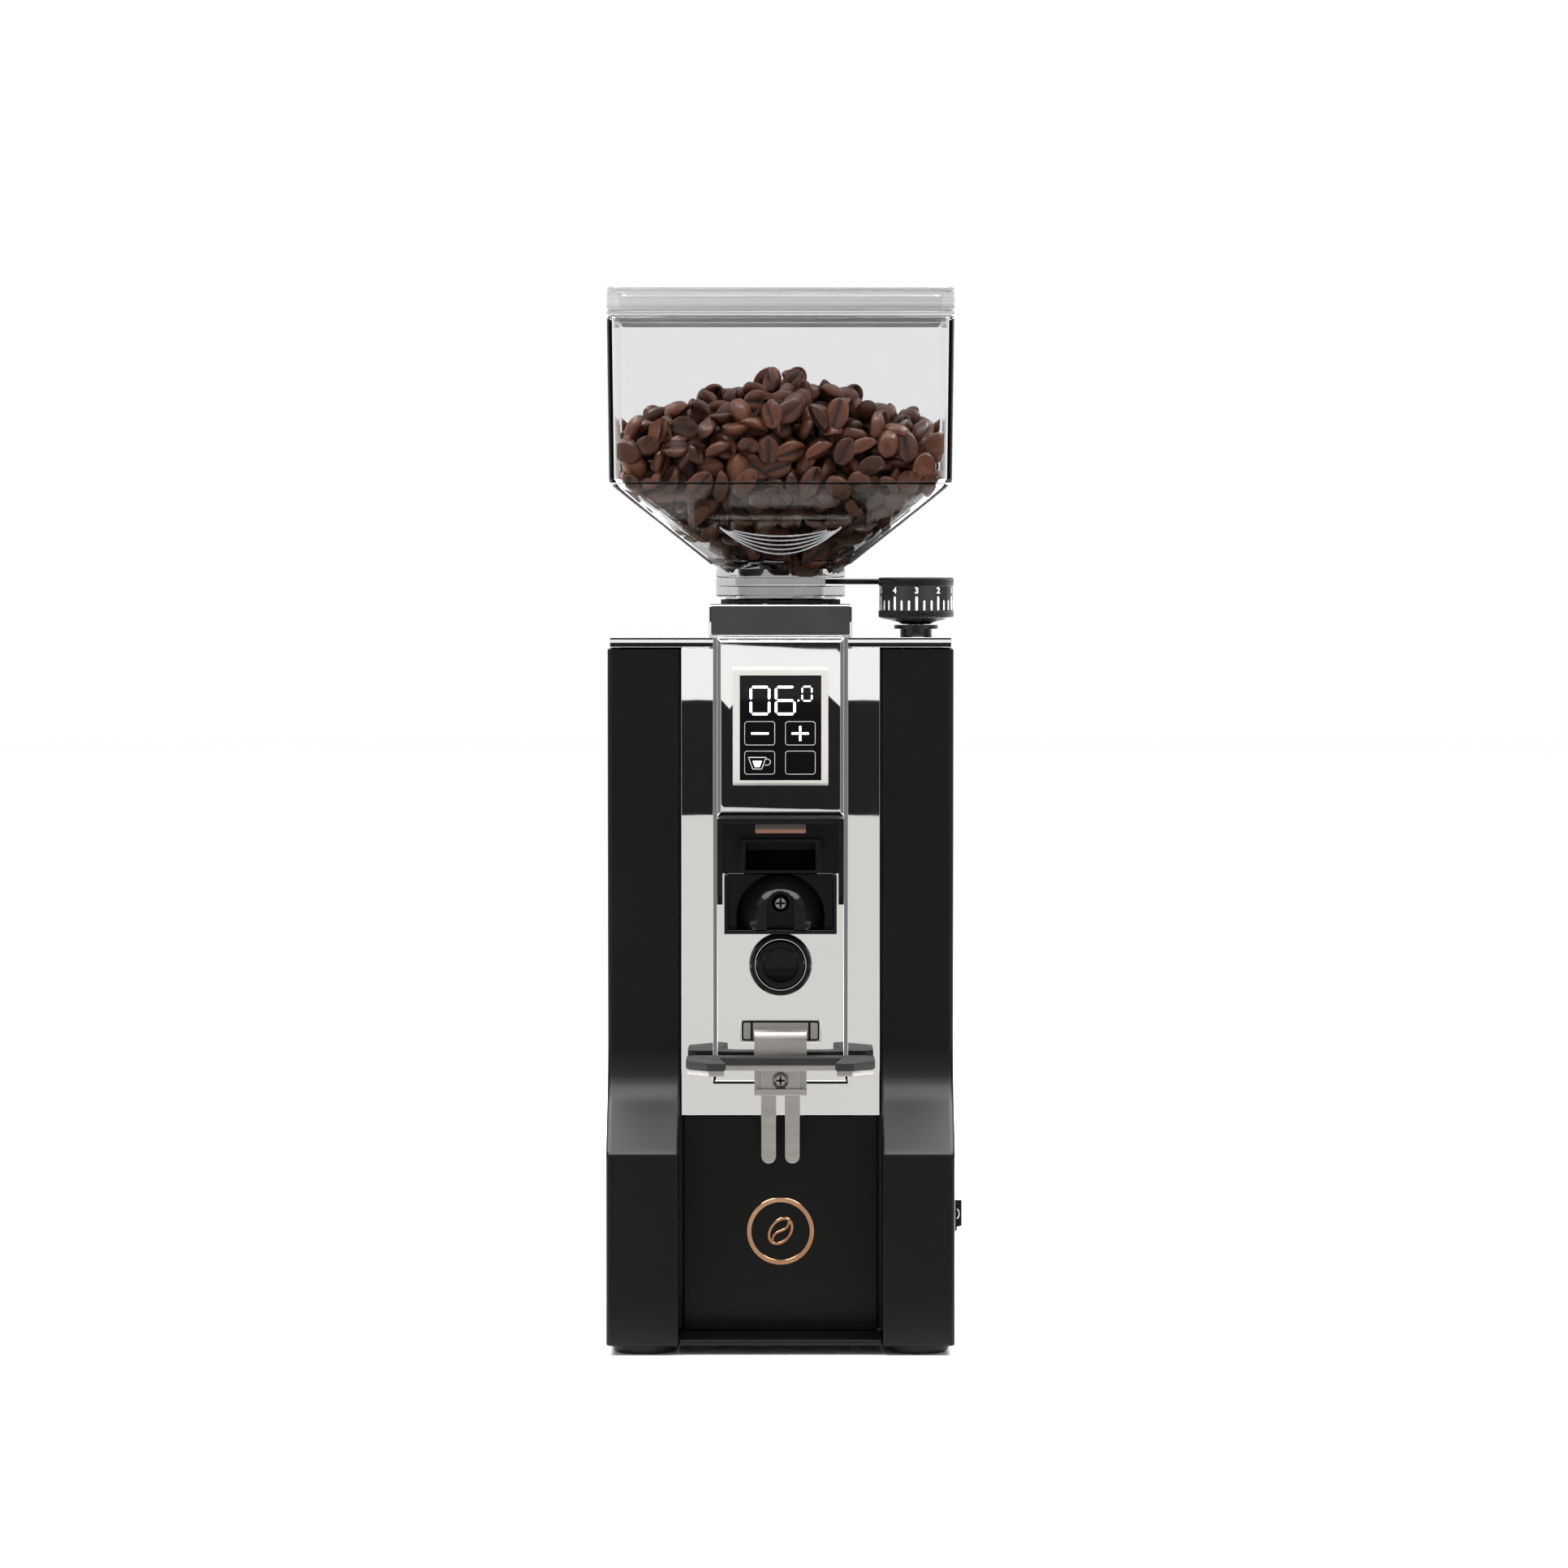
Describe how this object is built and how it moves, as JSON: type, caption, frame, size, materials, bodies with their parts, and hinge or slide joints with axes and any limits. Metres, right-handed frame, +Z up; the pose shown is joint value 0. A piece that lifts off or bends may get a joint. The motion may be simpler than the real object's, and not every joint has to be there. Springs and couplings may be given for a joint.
{
  "type": "burr coffee grinder",
  "caption": "Electric burr coffee grinder with a clear bean hopper, a grind dial, a touch display, a start button and an adjustable filter-holder fork.",
  "frame": {"origin": "on the worktop, under the middle of the grinder", "axes": "+X to the right, -Y out of the front, +Z up"},
  "size_m": [0.1237, 0.18, 0.3674],
  "materials": {
    "satin_black": "satin black powder coat",
    "polished_steel": "mirror-polished steel",
    "brushed_steel": "brushed stainless steel",
    "machined_steel": "machined steel",
    "aluminium": "cast aluminium",
    "bronze": "cast brass",
    "copper_trim": "polished copper plating",
    "clear_plastic": "clear glossy plastic",
    "lid_plastic": "clear grey plastic",
    "matte_black": "fine-grained black plastic",
    "gloss_black": "glossy black plastic",
    "black_anodised": "black anodised, knurled",
    "lamp_plastic": "translucent amber plastic",
    "display_glass": "black glass with lit segments",
    "rubber": "matt black rubber",
    "circuit_board": "solder-masked circuit board",
    "beans": "roasted coffee beans"
  },
  "bodies": {
    "chassis": {"base_plate": "satin_black", "rubber_feet": "rubber", "inner_frame": "machined_steel", "left_cover": "satin_black", "right_cover": "satin_black", "rear_cover": "satin_black", "cover_screws": "brushed_steel", "lower_front_panel": "satin_black", "emblem": "copper_trim", "front_plate": "polished_steel", "centre_column": "polished_steel", "display_panel": "polished_steel", "display_bezel": "polished_steel", "display_glass": "display_glass", "display_board": "circuit_board", "top_cover": "polished_steel", "collar_block": "polished_steel", "collar_seal": "rubber", "hopper": "clear_plastic", "coffee_beans": "beans", "bean_throat": "matte_black", "burr_holder": "aluminium", "upper_burr": "machined_steel", "upper_burr_screws": "machined_steel", "grind_chamber": "aluminium", "motor_housing": "aluminium", "stator_core": "machined_steel", "shaft_bearings": "machined_steel", "lever_pin": "machined_steel", "dial_bush": "black_anodised", "dial_pointer": "polished_steel", "capacitor": "aluminium", "control_board": "circuit_board", "chute_duct": "matte_black", "spout_housing": "matte_black", "spout_tray": "matte_black", "spout_deflector": "matte_black", "front_screws": "brushed_steel", "lamp_lens": "lamp_plastic", "button_ring": "gloss_black", "button_switch": "matte_black", "switch_bezel": "matte_black", "cord_gland": "matte_black", "fork_bracket": "brushed_steel"},
    "lid": {"hopper_lid": "lid_plastic"},
    "gate": {"bean_gate": "matte_black"},
    "dial": {"dial_knob": "black_anodised", "adjusting_rod": "machined_steel"},
    "nut": {"adjusting_nut": "bronze"},
    "lever": {"lift_lever": "machined_steel"},
    "shaft_lift": {"thrust_ball": "machined_steel"},
    "rotor": {"motor_shaft": "machined_steel", "rotor_core": "machined_steel", "burr_carrier": "bronze", "lower_burr": "machined_steel", "lower_burr_screws": "machined_steel"},
    "button": {"start_button": "gloss_black"},
    "rocker": {"power_rocker": "gloss_black"},
    "fork": {"fork_plate": "brushed_steel", "fork_pads": "rubber"}
  },
  "joints": [
    {"name": "lid_lift", "type": "slide", "parent": "chassis", "child": "lid", "axis": [0, 0, 1], "range_m": [0, 0.06]},
    {"name": "gate_slide", "type": "slide", "parent": "chassis", "child": "gate", "axis": [-1, 0, 0], "range_m": [0, 0.0284]},
    {"name": "dial_turn", "type": "hinge", "parent": "chassis", "child": "dial", "pos_m": [0.0472, -0.028, 0.26], "axis": [0, 0, 1], "range_deg": [-108, 612]},
    {"name": "nut_travel", "type": "slide", "parent": "chassis", "child": "nut", "axis": [0, 0, -1], "range_m": [-0.0003, 0.0017]},
    {"name": "lever_tilt", "type": "hinge", "parent": "chassis", "child": "lever", "pos_m": [0.01324, -0.00498, 0.087], "axis": [0.5612, 0.8277, 0], "range_deg": [-0.5, 2.5]},
    {"name": "shaft_height", "type": "slide", "parent": "chassis", "child": "shaft_lift", "axis": [0, 0, 1], "range_m": [-0.0001169, 0.0006629]},
    {"name": "rotor_spin", "type": "hinge", "parent": "shaft_lift", "child": "rotor", "pos_m": [0, 0.004, 0.15], "axis": [0, 0, 1], "continuous": true},
    {"name": "start_press", "type": "slide", "parent": "chassis", "child": "button", "axis": [0, 1, 0], "range_m": [0, 0.003], "stiffness_N_per_m": 600, "springref_m": -0.0005},
    {"name": "power_rock", "type": "hinge", "parent": "chassis", "child": "rocker", "pos_m": [0.0575, -0.03, 0.044], "axis": [0, 0, 1], "range_deg": [0, 14]},
    {"name": "fork_height", "type": "slide", "parent": "chassis", "child": "fork", "axis": [0, 0, 1], "range_m": [0, 0.018]}
  ],
  "couplings": [
    {"joint": "dial_turn", "follows": "shaft_height", "rad_per_m": 16110},
    {"joint": "nut_travel", "follows": "shaft_height", "ratio": 2.5641},
    {"joint": "lever_tilt", "follows": "shaft_height", "rad_per_m": 62.5}
  ]
}
